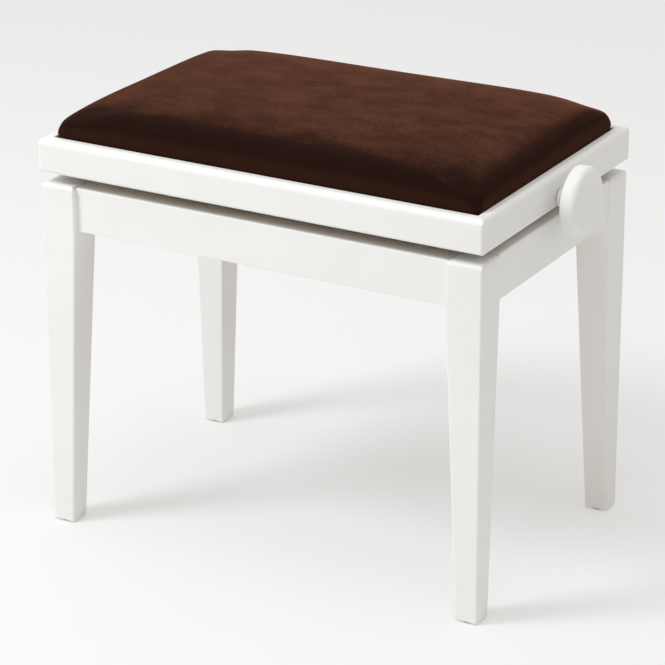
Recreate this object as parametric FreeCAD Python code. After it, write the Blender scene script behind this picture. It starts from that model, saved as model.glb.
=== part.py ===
"""Height-adjustable piano stool: a tapered-leg base, a mitred seat tray with a crowned velour
cushion, and a crossed-arm lift that one knob drives through a threaded spindle.

Millimetres, +Z up, +X to the knob. Sizes are laid out from the middle of the seat tray on the
floor. Every piece is then moved by ORIGIN_SHIFT, so that the origin is on the floor below the
middle of the overall length, knob included. The seat is drawn at its lowest height.
"""
import FreeCAD, Part
import math
import os

V = FreeCAD.Vector
X, Y, Z = V(1, 0, 0), V(0, 1, 0), V(0, 0, 1)

# Seat tray
TRAY_LENGTH = 540.0
TRAY_WIDTH = 350.0
TRAY_BOTTOM = 415.0
TRAY_HEIGHT = 38.0
TRAY_RAIL = 13.5
TRAY_ROUND_TOP = 7.5
TRAY_ROUND_BOTTOM = 3.5
TRAY_ROUND_INNER = 1.5
TRAY_CORNER = 4.0
SPLINE_SIZE = 8.0
SPLINE_THICK = 3.0

# Legs and aprons
LEG_SIZE = 42.0
LEG_FOOT = 26.5
LEG_TOP = 403.0
LEG_TAPER_TOP = 348.0
LEG_INSET = 1.5
LEG_ROUND = 2.5
LEG_TOP_ROUND = 5.0
APRON_HEIGHT = 50.0
APRON_DROP_LONG = 2.0
APRON_THICK = 29.0
APRON_ROUND = 1.0
APRON_TOP_ROUND = 2.0
APRON_SETBACK_LONG = 6.5
APRON_SETBACK_SHORT = 2.0
DOWEL_R = 4.0
DOWEL_DEPTH = 15.0
DOWEL_SPREAD = 12.0
GLIDE_R = 11.0
GLIDE_THICK = 2.0
GLIDE_NAIL_R = 1.5
GLIDE_NAIL_LENGTH = 14.0

# Corner blocks and the bolts that pull the legs in
BLOCK_HEIGHT = 36.0
BLOCK_THICK = 20.0
BLOCK_LEG_GAP = 2.0
BLOCK_SCREW_FROM_END = 11.5
BLOCK_SCREW_SPREAD = 10.0
BOLT_R = 4.0
BOLT_IN_LEG = 34.0
BOLT_PAST_NUT = 2.0
WASHER_R = 9.0
WASHER_THICK = 1.6
NUT_FLATS = 13.0
NUT_HEIGHT = 6.5

# Cross rails that carry the lift
CROSS_RAIL_X = 150.0
CROSS_RAIL_WIDTH = 50.0
CROSS_RAIL_THICK = 12.0
CROSS_RAIL_LIP = 4.0
CROSS_DOWEL_R = 3.0
CROSS_DOWEL_DEPTH = 11.0
CROSS_DOWEL_SPREAD = 15.0

# Seat pad: board, foam and cover
BOARD_BOTTOM = 438.0
BOARD_THICK = 12.0
BOARD_GAP = 4.0
BOARD_CORNER = 10.0
COVER_THICK = 1.5
COVER_FOLD = 25.0
FOAM_GAP = 0.2
LEDGE_WIDTH = 15.0
LEDGE_HEIGHT = 19.5
LEDGE_LENGTH = 450.0
STAPLE_FROM_EDGE = 18.0
STAPLE_PITCH = 50.0
STAPLE_CROWN = 10.0
STAPLE_WIRE = 0.8
STAPLE_LEG = 6.0

# Cushion: straight sides in the tray, then a pillow that swells just over its rim
CUSHION_GAP = 0.7
CUSHION_SWELL = 0.5
CUSHION_NECK_Z = 452.0
CUSHION_WIDEST_Z = 456.4
CUSHION_CORNER = 6.0
PILLOW_RISE = 34.6
PILLOW_POWER = 4
PILLOW_STEPS = 11
PILLOW_STEP_GROWTH = 1.5
PILLOW_LAST_TURN = 86.0

# Crossed-arm lift
ARM_LENGTH = 380.0
ARM_WIDTH = 20.0
ARM_THICK = 4.0
ARM_GAP = 1.0
PIVOT_X = -190.0
LOWER_PIVOT_Z = 381.0
SPINDLE_Z = 425.0
LIFT = 95.0
LIFT_RAIL_HALF = 204.0
LIFT_RAIL_Y = 100.0
LIFT_RAIL_THICK = 3.0
LIFT_RAIL_FLANGE = 18.0
LIFT_RAIL_HEIGHT = 25.0
PIN_R = 5.0
PIN_HEAD_R = 8.0
PIN_HEAD_THICK = 2.5
RIVET_R = 7.5
RIVET_THICK = 2.0
JOURNAL_R = 6.0
CENTRE_PLAY = 1.0
SLIDE_PLAY = 0.8
JOURNAL_LOST_MOTION = 3.2
SIDE_PLAY = 0.3
CLIP_R = 8.0
CLIP_THICK = 1.0
CLIP_GROOVE = 0.8
CLIP_MOUTH = 3.5
ROD_PAST_CLIP = 1.5

# Spindle, traveller and knob
SPINDLE_R = 5.0
SPINDLE_INNER_END = 112.0
TRAVELLER_SIZE = 16.0
BUSH_R = 7.0
BUSH_FLANGE_R = 10.0
BUSH_FLANGE_THICK = 2.0
COLLAR_R = 10.0
COLLAR_LENGTH = 10.0
COLLAR_SCREW_R = 2.5
COLLAR_SCREW_BITE = 1.0
BRACKET_X = 118.0
BRACKET_HALF = 18.0
BRACKET_FLANGE = 22.0
KNOB_BACK_GAP = 16.5
KNOB_THICK = 18.5
KNOB_R_BACK = 37.6
KNOB_R_FRONT = 37.0
KNOB_BACK_ROUND = 3.0
KNOB_FRONT_ROUND = 8.0
KNOB_NECK_R = 10.0
KNOB_RAIL_GAP = 1.0
INSERT_R = 7.0
INSERT_LENGTH = 20.0
INSERT_FLOOR = 0.5
SPINDLE_END_GAP = 0.5
KNOB_PIN_R = 2.0

# Fits and screws
RUN_FIT = 0.05
WOOD_FIT = 0.05
SCREW_R = 1.9
SCREW_HEAD_R = 3.8
SCREW_HEAD_THICK = 2.2
BLOCK_SCREW_LENGTH = 22.0
LIFT_SCREW_LENGTH = 12.0
LIFT_SCREW_XS = (-165.0, -55.0, 55.0, 165.0)
LEDGE_SCREW_XS = (-180.0, 0.0, 180.0)
LEDGE_SCREW_LENGTH = 24.0
SEAT_SCREW_XS = (-120.0, 120.0)
SEAT_SCREW_LENGTH = 29.5

# Places worked out from the driving sizes
OPEN_X = TRAY_LENGTH / 2 - TRAY_RAIL
OPEN_Y = TRAY_WIDTH / 2 - TRAY_RAIL
TRAY_TOP = TRAY_BOTTOM + TRAY_HEIGHT
LEG_OUT_X = TRAY_LENGTH / 2 - LEG_INSET
LEG_OUT_Y = TRAY_WIDTH / 2 - LEG_INSET
LEG_IN_X = LEG_OUT_X - LEG_SIZE
LEG_IN_Y = LEG_OUT_Y - LEG_SIZE
LONG_APRON_BOTTOM = LEG_TOP - APRON_DROP_LONG - APRON_HEIGHT
SHORT_APRON_BOTTOM = LEG_TOP - APRON_HEIGHT
APRON_MID_Z = LEG_TOP - (APRON_DROP_LONG + APRON_HEIGHT) / 2
LONG_APRON_Y = LEG_OUT_Y - APRON_SETBACK_LONG - APRON_THICK
SHORT_APRON_X = LEG_OUT_X - APRON_SETBACK_SHORT - APRON_THICK
CROSS_RAIL_TOP = LONG_APRON_BOTTOM + CROSS_RAIL_LIP + CROSS_RAIL_THICK
LEDGE_BOTTOM = BOARD_BOTTOM - COVER_THICK - LEDGE_HEIGHT
KNOB_BACK_X = TRAY_LENGTH / 2 + KNOB_BACK_GAP
KNOB_FRONT_X = KNOB_BACK_X + KNOB_THICK
KNOB_NECK_X = TRAY_LENGTH / 2 + KNOB_RAIL_GAP
ORIGIN_SHIFT = V(-(KNOB_FRONT_X - TRAY_LENGTH / 2) / 2, 0, 0)
REST_ANGLE = math.degrees(math.asin((SPINDLE_Z - LOWER_PIVOT_Z) / ARM_LENGTH))
RAISED_ANGLE = math.degrees(math.asin((SPINDLE_Z - LOWER_PIVOT_Z + LIFT) / ARM_LENGTH))
ARM_END_X = PIVOT_X + ARM_LENGTH * math.cos(math.radians(REST_ANGLE))
ARM_END_RAISED_X = PIVOT_X + ARM_LENGTH * math.cos(math.radians(RAISED_ANGLE))
ARM_B_OUT = LIFT_RAIL_Y - ARM_GAP
ARM_B_IN = ARM_B_OUT - ARM_THICK
ARM_A_OUT = ARM_B_IN - ARM_GAP
ARM_A_IN = ARM_A_OUT - ARM_THICK
RAIL_OUT_Y = LIFT_RAIL_Y + LIFT_RAIL_THICK
BUSH_INNER_X = OPEN_X - BUSH_FLANGE_THICK
COLLAR_X = BUSH_INNER_X - SIDE_PLAY - COLLAR_LENGTH


def box(x0, x1, y0, y1, z0, z1):
    return Part.makeBox(x1 - x0, y1 - y0, z1 - z0, V(x0, y0, z0))


def rod(start, end, radius):
    along = end - start
    return Part.makeCylinder(radius, along.Length, start, along)


def plate(outline, z0, z1):
    """Upright prism on a plan outline given as (x, y) corners."""
    corners = [V(x, y, z0) for x, y in outline]
    return Part.Face(Part.makePolygon(corners + corners[:1])).extrude(V(0, 0, z1 - z0))


def rounded_wire(half_x, half_y, radius, z):
    """Rectangle about the Z axis with round plan corners."""
    edges = []
    turn = radius * (1 - math.sqrt(0.5))
    for sx, sy in ((1, 1), (-1, 1), (-1, -1), (1, -1)):
        on_x_side = V(sx * half_x, sy * (half_y - radius), z)
        on_y_side = V(sx * (half_x - radius), sy * half_y, z)
        middle = V(sx * (half_x - turn), sy * (half_y - turn), z)
        first, last = (on_x_side, on_y_side) if sx * sy > 0 else (on_y_side, on_x_side)
        edges.append((first, middle, last))
    loop = []
    for here, following in zip(edges, edges[1:] + edges[:1]):
        loop.append(Part.Arc(*here).toShape())
        loop.append(Part.makeLine(here[2], following[0]))
    return Part.Wire(loop)


def rounded_prism(half_x, half_y, radius, z0, z1):
    return Part.Face(rounded_wire(half_x, half_y, radius, z0)).extrude(V(0, 0, z1 - z0))


def long_edges(shape, direction):
    """Straight edges that run along a direction."""
    chosen = []
    for edge in shape.Edges:
        if isinstance(edge.Curve, Part.Line):
            if abs(edge.tangentAt(edge.FirstParameter).dot(direction)) > 0.999:
                chosen.append(edge)
    return chosen


def edge_at(shape, direction, middle):
    """The straight edge along a direction whose middle is at a point."""
    return [e for e in long_edges(shape, direction) if (e.CenterOfMass - middle).Length < 0.5]


def flip_x(shape):
    return shape.mirror(V(0, 0, 0), X)


def flip_y(shape):
    return shape.mirror(V(0, 0, 0), Y)


def both_sides(shape):
    """The piece at the back and its mirror image at the front."""
    return [shape, flip_y(shape)]


def four_corners(shape):
    """The piece at the back right corner and its images at the other three."""
    return [shape, flip_x(shape), flip_y(shape), flip_x(flip_y(shape))]


def screw(seat, direction, length, grow=0.0):
    """Countersunk wood screw with the top of its head at seat."""
    way = V(direction).normalize()
    head = Part.makeCone(SCREW_HEAD_R + grow, SCREW_R + grow, SCREW_HEAD_THICK, seat, way)
    return head.fuse(rod(seat, seat + way * length, SCREW_R + grow)).removeSplitter()


def ring_clip(centre):
    """Retaining clip, open at the top, around a rod along Y."""
    start = centre - Y * CLIP_THICK / 2
    ring = rod(start, start + Y * CLIP_THICK, CLIP_R)
    ring = ring.cut(rod(start, start + Y * CLIP_THICK, PIN_R - CLIP_GROOVE + RUN_FIT))
    mouth = box(-CLIP_MOUTH, CLIP_MOUTH, -CLIP_THICK, CLIP_THICK, 0, CLIP_R)
    return ring.cut(mouth.translated(centre))


def groove(centre):
    """Ring to cut from a rod along Y so that a clip sits in it."""
    half = CLIP_THICK / 2 + RUN_FIT
    outer = rod(centre - Y * half, centre + Y * half, CLIP_R)
    return outer.cut(rod(centre - Y * half, centre + Y * half, PIN_R - CLIP_GROOVE))


def stadium(x0, x1, half_width, y0, y1, z):
    """Bar or slot along X with round ends centred on x0 and x1."""
    middle = box(x0, x1, y0, y1, z - half_width, z + half_width)
    ends = [rod(V(x, y0, z), V(x, y1, z), half_width) for x in (x0, x1)]
    return middle.multiFuse(ends).removeSplitter()


def save(name, solids):
    shape = Part.makeCompound(solids) if len(solids) > 1 else solids[0]
    shape.translated(ORIGIN_SHIFT).exportStep(os.path.join("parts", name + ".step"))


os.makedirs("parts", exist_ok=True)
CORNER_NAMES = ("back_right", "back_left", "front_right", "front_left")


# Fasteners of the base, which are also cut out of the wood that holds them

def apron_dowels(grow=0.0):
    """Two dowels in each joint between an apron and a leg."""
    found = []
    reach = DOWEL_DEPTH + 10 * grow
    for z in (APRON_MID_Z - DOWEL_SPREAD, APRON_MID_Z + DOWEL_SPREAD):
        y = LONG_APRON_Y + APRON_THICK / 2
        x = SHORT_APRON_X + APRON_THICK / 2
        found += four_corners(rod(V(LEG_IN_X - reach, y, z), V(LEG_IN_X + reach, y, z), DOWEL_R + grow))
        found += four_corners(rod(V(x, LEG_IN_Y - reach, z), V(x, LEG_IN_Y + reach, z), DOWEL_R + grow))
    return found


def cross_rail_dowels(grow=0.0):
    """Two dowels in each joint between a cross rail and a long apron."""
    found = []
    reach = CROSS_DOWEL_DEPTH + 10 * grow
    z = CROSS_RAIL_TOP - CROSS_RAIL_THICK / 2
    for x in (CROSS_RAIL_X - CROSS_DOWEL_SPREAD, CROSS_RAIL_X + CROSS_DOWEL_SPREAD):
        dowel = rod(V(x, LONG_APRON_Y - reach, z), V(x, LONG_APRON_Y + reach, z), CROSS_DOWEL_R + grow)
        found += four_corners(dowel)
    return found


DIAGONAL = V(1, 1, 0).normalize()
LEG_EDGE = V(LEG_IN_X, LEG_IN_Y, APRON_MID_Z)
BLOCK_OUT = LEG_IN_X + LEG_IN_Y - BLOCK_LEG_GAP * math.sqrt(2)
BLOCK_IN = BLOCK_OUT - BLOCK_THICK * math.sqrt(2)
BLOCK_FACE = LEG_EDGE - DIAGONAL * (BLOCK_LEG_GAP + BLOCK_THICK)


def leg_bolt(grow=0.0):
    """Hanger bolt from the leg's inner edge, through the corner block to the nut."""
    inner = BLOCK_FACE - DIAGONAL * (WASHER_THICK + NUT_HEIGHT + BOLT_PAST_NUT)
    return rod(inner, LEG_EDGE + DIAGONAL * (BOLT_IN_LEG + 10 * grow), BOLT_R + grow)


def block_screws(grow=0.0):
    """Two screws from each end of a corner block into the apron behind it."""
    found = []
    for z in (APRON_MID_Z - BLOCK_SCREW_SPREAD, APRON_MID_Z + BLOCK_SCREW_SPREAD):
        x = BLOCK_IN - LONG_APRON_Y + BLOCK_SCREW_FROM_END
        y = BLOCK_IN - SHORT_APRON_X + BLOCK_SCREW_FROM_END
        sunk = SCREW_HEAD_R
        found += four_corners(screw(V(x, BLOCK_IN - x + sunk, z), Y, BLOCK_SCREW_LENGTH, grow))
        found += four_corners(screw(V(BLOCK_IN - y + sunk, y, z), X, BLOCK_SCREW_LENGTH, grow))
    return found


def screw_wells():
    """Round wells that let the corner block screws in from the slanted face."""
    found = []
    for z in (APRON_MID_Z - BLOCK_SCREW_SPREAD, APRON_MID_Z + BLOCK_SCREW_SPREAD):
        x = BLOCK_IN - LONG_APRON_Y + BLOCK_SCREW_FROM_END
        y = BLOCK_IN - SHORT_APRON_X + BLOCK_SCREW_FROM_END
        radius = SCREW_HEAD_R + 2 * WOOD_FIT
        sunk = SCREW_HEAD_R
        found.append(rod(V(x, BLOCK_IN - x - sunk, z), V(x, BLOCK_IN - x + sunk, z), radius))
        found.append(rod(V(BLOCK_IN - y - sunk, y, z), V(BLOCK_IN - y + sunk, y, z), radius))
    return found


def lower_rail_screws(grow=0.0):
    """Screws through the lower lift rails into the cross rails."""
    found = []
    y = LIFT_RAIL_Y + LIFT_RAIL_FLANGE / 2 + LIFT_RAIL_THICK / 2
    for x in (CROSS_RAIL_X - CROSS_DOWEL_SPREAD, CROSS_RAIL_X + CROSS_DOWEL_SPREAD):
        seat = V(x, y, CROSS_RAIL_TOP + LIFT_RAIL_THICK)
        found += four_corners(screw(seat, -Z, CROSS_RAIL_THICK + grow, grow))
    return found


# Legs with their glides: vertical outer faces, inner faces tapered below the aprons

foot_x = LEG_OUT_X - LEG_FOOT / 2
foot_y = LEG_OUT_Y - LEG_FOOT / 2
head_x = LEG_OUT_X - LEG_SIZE / 2
head_y = LEG_OUT_Y - LEG_SIZE / 2
foot_wire = rounded_wire(LEG_FOOT / 2, LEG_FOOT / 2, LEG_ROUND, GLIDE_THICK)
knee_wire = rounded_wire(LEG_SIZE / 2, LEG_SIZE / 2, LEG_ROUND, LEG_TAPER_TOP)
shank = Part.makeLoft(
    [foot_wire.translated(V(foot_x, foot_y, 0)), knee_wire.translated(V(head_x, head_y, 0))], True, True)
half_leg = LEG_SIZE / 2
head = rounded_prism(half_leg, half_leg, LEG_ROUND, LEG_TAPER_TOP, LEG_TOP)
block_of_head = box(-half_leg, half_leg, -half_leg, half_leg, LEG_TAPER_TOP, LEG_TOP)
for along, across in ((X, Y), (Y, X)):
    arrises = []
    for side in (-half_leg, half_leg):
        arrises += edge_at(block_of_head, along, across * side + Z * LEG_TOP)
    head = head.common(block_of_head.makeFillet(LEG_TOP_ROUND, arrises))
leg = shank.fuse(head.translated(V(head_x, head_y, 0)))


def glide(grow=0.0):
    """Nail-on glide: a disc with a nail up into the foot."""
    disc = rod(V(foot_x, foot_y, 0), V(foot_x, foot_y, GLIDE_THICK), GLIDE_R)
    nail_top = V(foot_x, foot_y, GLIDE_THICK + GLIDE_NAIL_LENGTH + 10 * grow)
    return disc.fuse(rod(V(foot_x, foot_y, 0), nail_top, GLIDE_NAIL_R + grow)).removeSplitter()


legs = four_corners(leg.cut(leg_bolt(WOOD_FIT)).cut(glide(WOOD_FIT)))
for corner, one_leg in zip(CORNER_NAMES, legs):
    save("leg_" + corner, [one_leg.cut(Part.makeCompound(apron_dowels(WOOD_FIT)))])
save("foot_glides", four_corners(glide()))

# Aprons between the legs, set back from the leg faces


def eased_apron(x0, x1, y0, y1, bottom, along, outward):
    """Apron with rounded long edges, its top outer edge rounded the most."""
    plank = box(x0, x1, y0, y1, bottom, bottom + APRON_HEIGHT)
    middle = plank.CenterOfMass
    up = Z * APRON_HEIGHT / 2
    out = outward * APRON_THICK / 2
    small = [edge_at(plank, along, middle + way)[0] for way in (up - out, -up - out, -up + out)]
    plank = plank.makeFillet(APRON_ROUND, small)
    return plank.makeFillet(APRON_TOP_ROUND, edge_at(plank, along, middle + up + out))


base_holes = Part.makeCompound(
    apron_dowels(WOOD_FIT) + cross_rail_dowels(WOOD_FIT) + block_screws(WOOD_FIT))
long_apron = eased_apron(
    -LEG_IN_X, LEG_IN_X, LONG_APRON_Y, LONG_APRON_Y + APRON_THICK, LONG_APRON_BOTTOM, X, Y)
short_apron = eased_apron(
    SHORT_APRON_X, SHORT_APRON_X + APRON_THICK, -LEG_IN_Y, LEG_IN_Y, SHORT_APRON_BOTTOM, Y, X)
save("apron_back", [long_apron.cut(base_holes)])
save("apron_front", [flip_y(long_apron).cut(base_holes)])
save("apron_right", [short_apron.cut(base_holes)])
save("apron_left", [flip_x(short_apron).cut(base_holes)])
save("apron_dowels", apron_dowels())

# Corner blocks, screwed to the aprons, with the bolts that hold the legs
block = plate(
    ((BLOCK_IN - LONG_APRON_Y, LONG_APRON_Y),
     (BLOCK_OUT - LONG_APRON_Y, LONG_APRON_Y),
     (SHORT_APRON_X, BLOCK_OUT - SHORT_APRON_X),
     (SHORT_APRON_X, BLOCK_IN - SHORT_APRON_X)),
    APRON_MID_Z - BLOCK_HEIGHT / 2, APRON_MID_Z + BLOCK_HEIGHT / 2)
block = block.cut(leg_bolt(WOOD_FIT)).cut(Part.makeCompound(block_screws(WOOD_FIT) + screw_wells()))
for corner, one_block in zip(CORNER_NAMES, four_corners(block)):
    save("corner_block_" + corner, [one_block])
save("corner_block_screws", block_screws())

washer_end = BLOCK_FACE - DIAGONAL * WASHER_THICK
washer = rod(BLOCK_FACE, washer_end, WASHER_R).cut(rod(BLOCK_FACE, washer_end, BOLT_R + WOOD_FIT))
nut_corner = NUT_FLATS / math.sqrt(3)
turns = [side * math.pi / 3 for side in range(6)]
nut = plate([(nut_corner * math.cos(turn), nut_corner * math.sin(turn)) for turn in turns], 0, NUT_HEIGHT)
nut.Placement = FreeCAD.Placement(washer_end, FreeCAD.Rotation(Z, -DIAGONAL))
save("leg_bolts", four_corners(leg_bolt()))
save("leg_bolt_washers", four_corners(washer))
save("leg_bolt_nuts", four_corners(nut.cut(leg_bolt(WOOD_FIT))))

# Two cross rails between the long aprons, which carry the lift
cross_rail = box(
    CROSS_RAIL_X - CROSS_RAIL_WIDTH / 2, CROSS_RAIL_X + CROSS_RAIL_WIDTH / 2,
    -LONG_APRON_Y, LONG_APRON_Y, CROSS_RAIL_TOP - CROSS_RAIL_THICK, CROSS_RAIL_TOP)
cross_rail = cross_rail.cut(Part.makeCompound(cross_rail_dowels(WOOD_FIT) + lower_rail_screws(WOOD_FIT)))
save("cross_rail_right", [cross_rail])
save("cross_rail_left", [flip_x(cross_rail)])
save("cross_rail_dowels", cross_rail_dowels())

# Lower lift rails: steel angles on the cross rails, pivot at the left, slot at the right

slot_low, slot_high = ARM_END_RAISED_X - SIDE_PLAY, ARM_END_X + SIDE_PLAY


def lift_pin(z, arm_inner_face):
    """Pivot pin riveted in a lift rail, with a head inside the arm that turns on it."""
    head_face = arm_inner_face - SIDE_PLAY
    shaft = rod(V(PIVOT_X, head_face, z), V(PIVOT_X, RAIL_OUT_Y, z), PIN_R)
    head = rod(V(PIVOT_X, head_face - PIN_HEAD_THICK, z), V(PIVOT_X, head_face, z), PIN_HEAD_R)
    rivet = rod(V(PIVOT_X, RAIL_OUT_Y, z), V(PIVOT_X, RAIL_OUT_Y + RIVET_THICK, z), RIVET_R)
    return shaft.multiFuse([head, rivet]).removeSplitter()


def pin_hole(z):
    return rod(V(PIVOT_X, LIFT_RAIL_Y, z), V(PIVOT_X, RAIL_OUT_Y, z), PIN_R + WOOD_FIT)


lower_slot_half = PIN_R + SLIDE_PLAY / 2 + SIDE_PLAY
lower_slot_z = LOWER_PIVOT_Z - SLIDE_PLAY / 2
lower_web = box(
    -LIFT_RAIL_HALF, LIFT_RAIL_HALF, LIFT_RAIL_Y, RAIL_OUT_Y,
    CROSS_RAIL_TOP, CROSS_RAIL_TOP + LIFT_RAIL_HEIGHT)
lower_flange = box(
    -LIFT_RAIL_HALF, LIFT_RAIL_HALF, LIFT_RAIL_Y, LIFT_RAIL_Y + LIFT_RAIL_FLANGE,
    CROSS_RAIL_TOP, CROSS_RAIL_TOP + LIFT_RAIL_THICK)
lower_rail = lower_web.fuse(lower_flange).removeSplitter()
lower_slot = stadium(slot_low, slot_high, lower_slot_half, LIFT_RAIL_Y, RAIL_OUT_Y, lower_slot_z)
lower_rail = lower_rail.cut(lower_slot).cut(pin_hole(LOWER_PIVOT_Z))
lower_rail = lower_rail.cut(Part.makeCompound(lower_rail_screws(WOOD_FIT)))
save("lower_rail_back", [lower_rail])
save("lower_rail_front", [flip_y(lower_rail)])
save("lower_rail_screws", lower_rail_screws())
save("lower_pivot_pins", both_sides(lift_pin(LOWER_PIVOT_Z, ARM_A_IN)))

# Fasteners of the seat


def ledge_screws(grow=0.0):
    """Screws that hold the ledges to the long tray rails."""
    seat_y = OPEN_Y - LEDGE_WIDTH
    places = [V(x, seat_y, LEDGE_BOTTOM + LEDGE_HEIGHT / 3) for x in LEDGE_SCREW_XS]
    return [one for place in places for one in both_sides(screw(place, Y, LEDGE_SCREW_LENGTH, grow))]


def seat_screws(grow=0.0):
    """Screws up through the ledges into the seat board."""
    places = [V(x, OPEN_Y - LEDGE_WIDTH / 2, LEDGE_BOTTOM) for x in SEAT_SCREW_XS]
    return [one for place in places for one in both_sides(screw(place, Z, SEAT_SCREW_LENGTH, grow))]


def lift_screws(grow=0.0):
    """Screws up through the upper lift rails and the spindle's inner bracket into the seat board."""
    y = LIFT_RAIL_Y + LIFT_RAIL_FLANGE / 2 + LIFT_RAIL_THICK / 2
    places = [V(x, y, BOARD_BOTTOM - LIFT_RAIL_THICK) for x in LIFT_SCREW_XS]
    places.append(V(BRACKET_X - BRACKET_FLANGE / 2, BRACKET_HALF / 2, BOARD_BOTTOM - LIFT_RAIL_THICK))
    return [one for place in places for one in both_sides(screw(place, Z, LIFT_SCREW_LENGTH, grow))]


def staples():
    """Wire staples that hold the cover's turned-in edge to the board."""
    top = BOARD_BOTTOM - COVER_THICK
    half, wire = STAPLE_CROWN / 2, STAPLE_WIRE
    crown = box(-half, half, -wire / 2, wire / 2, -wire, 0)
    prongs = [box(x, x + wire, -wire / 2, wire / 2, -wire, STAPLE_LEG) for x in (-half, half - wire)]
    staple = crown.multiFuse(prongs).removeSplitter()
    across = staple.rotated(V(0, 0, 0), Z, 90)
    side_x = OPEN_X - BOARD_GAP - STAPLE_FROM_EDGE
    side_y = OPEN_Y - BOARD_GAP - STAPLE_FROM_EDGE
    found = []
    for step in range(-4, 5):
        found += both_sides(staple.translated(V(step * STAPLE_PITCH, side_y, top)))
    for step in range(-2, 3):
        right = across.translated(V(side_x, step * STAPLE_PITCH, top))
        found += [right, flip_x(right)]
    return found


def mitre_splines(grow=0.0):
    """Plywood keys across the glued mitres of the tray."""
    half = SPLINE_SIZE / 2 + grow
    key = box(-half, half, -half, half, -SPLINE_THICK / 2 - grow, SPLINE_THICK / 2 + grow)
    key = key.rotated(V(0, 0, 0), Z, 45)
    mitre = V(OPEN_X + TRAY_RAIL / 2, OPEN_Y + TRAY_RAIL / 2, TRAY_BOTTOM + TRAY_HEIGHT / 2)
    return four_corners(key.translated(mitre))


# Seat tray: four mitred rails with rounded outer edges


def tray_profile_rail():
    """Back rail, full length and not yet mitred."""
    half = TRAY_LENGTH / 2
    rail = box(-half, half, OPEN_Y, TRAY_WIDTH / 2, TRAY_BOTTOM, TRAY_TOP)
    for radius, y, z in ((TRAY_ROUND_TOP, TRAY_WIDTH / 2, TRAY_TOP),
                         (TRAY_ROUND_BOTTOM, TRAY_WIDTH / 2, TRAY_BOTTOM),
                         (TRAY_ROUND_INNER, OPEN_Y, TRAY_TOP)):
        rail = rail.makeFillet(radius, edge_at(rail, X, V(0, y, z)))
    return rail


def mitre_wedge(half_length, half_width):
    """Plan shape that keeps the back rail between its two 45 degree mitres."""
    inner = half_length - half_width
    corners = ((half_length, half_width), (-half_length, half_width), (-inner, 0), (inner, 0))
    return plate(corners, TRAY_BOTTOM, TRAY_TOP)


tray_outline = rounded_prism(TRAY_LENGTH / 2, TRAY_WIDTH / 2, TRAY_CORNER, TRAY_BOTTOM, TRAY_TOP)
spline_slots = Part.makeCompound(mitre_splines(WOOD_FIT))
long_rail = tray_profile_rail().common(mitre_wedge(TRAY_LENGTH / 2, TRAY_WIDTH / 2)).common(tray_outline)
long_rail = long_rail.cut(spline_slots)

# The short rail is the long rail's profile turned a quarter round and mitred to the tray's width
quarter = tray_profile_rail().translated(V(0, TRAY_LENGTH / 2 - TRAY_WIDTH / 2, 0))
quarter = quarter.rotated(V(0, 0, 0), Z, -90)
short_half = TRAY_WIDTH / 2
short_wedge = plate(
    ((TRAY_LENGTH / 2, short_half), (TRAY_LENGTH / 2, -short_half), (TRAY_LENGTH / 2 - short_half, 0)),
    TRAY_BOTTOM, TRAY_TOP)
short_rail = quarter.common(short_wedge).common(tray_outline).cut(spline_slots)

ledge_holes = Part.makeCompound(ledge_screws(WOOD_FIT))
bush_hole = rod(V(OPEN_X - TRAY_RAIL, 0, SPINDLE_Z), V(TRAY_LENGTH / 2, 0, SPINDLE_Z), BUSH_R + WOOD_FIT)
save("tray_rail_back", [long_rail.cut(ledge_holes)])
save("tray_rail_front", [flip_y(long_rail).cut(ledge_holes)])
save("tray_rail_right", [short_rail.cut(bush_hole)])
save("tray_rail_left", [flip_x(short_rail)])
save("mitre_splines", mitre_splines())

# Ledges in the tray, which the seat board rests on
ledge = box(
    -LEDGE_LENGTH / 2, LEDGE_LENGTH / 2, OPEN_Y - LEDGE_WIDTH, OPEN_Y,
    LEDGE_BOTTOM, LEDGE_BOTTOM + LEDGE_HEIGHT)
ledge_cuts = Part.makeCompound(ledge_screws(WOOD_FIT) + seat_screws(WOOD_FIT))
save("tray_ledge_back", [ledge.cut(ledge_cuts)])
save("tray_ledge_front", [flip_y(ledge).cut(ledge_cuts)])
save("ledge_screws", ledge_screws())
save("seat_screws", seat_screws())

# Seat pad: plywood board, pillow-shaped foam, and a velour cover stapled under the board
board = rounded_prism(
    OPEN_X - BOARD_GAP, OPEN_Y - BOARD_GAP, BOARD_CORNER, BOARD_BOTTOM, BOARD_BOTTOM + BOARD_THICK)
board_cuts = Part.makeCompound(
    seat_screws(WOOD_FIT) + lift_screws(WOOD_FIT) + staples())
save("seat_board", [board.cut(board_cuts)])


def cushion_sections():
    """Height, half length, half width and corner radius of the cushion's plan outlines, upwards.

    Above its widest height z0 the cushion is z0 + RISE * f(x / half length) * f(y / half width),
    with f(s) = (1 - s ** POWER) ** (1 / POWER), so level outlines shrink and grow rounder upwards.
    """
    in_x, in_y = OPEN_X - CUSHION_GAP, OPEN_Y - CUSHION_GAP
    found = [(BOARD_BOTTOM - COVER_THICK, in_x, in_y, CUSHION_CORNER),
             (CUSHION_NECK_Z, in_x, in_y, CUSHION_CORNER)]
    wide_x, wide_y = OPEN_X + CUSHION_SWELL, OPEN_Y + CUSHION_SWELL
    for step in range(PILLOW_STEPS + 1):
        turn = math.radians(PILLOW_LAST_TURN) * (step / PILLOW_STEPS) ** PILLOW_STEP_GROWTH
        level = math.sin(turn) ** (2 / PILLOW_POWER)
        share = math.cos(turn) ** (2 / PILLOW_POWER)
        share_at_corner = (1 - level ** (PILLOW_POWER / 2)) ** (1 / PILLOW_POWER)
        cut_corner = (wide_x + wide_y) / 2 * (share - share_at_corner)
        corner = max(CUSHION_CORNER, cut_corner / (1 - math.sqrt(0.5)))
        found.append((CUSHION_WIDEST_Z + PILLOW_RISE * level, wide_x * share, wide_y * share, corner))
    return found


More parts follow.
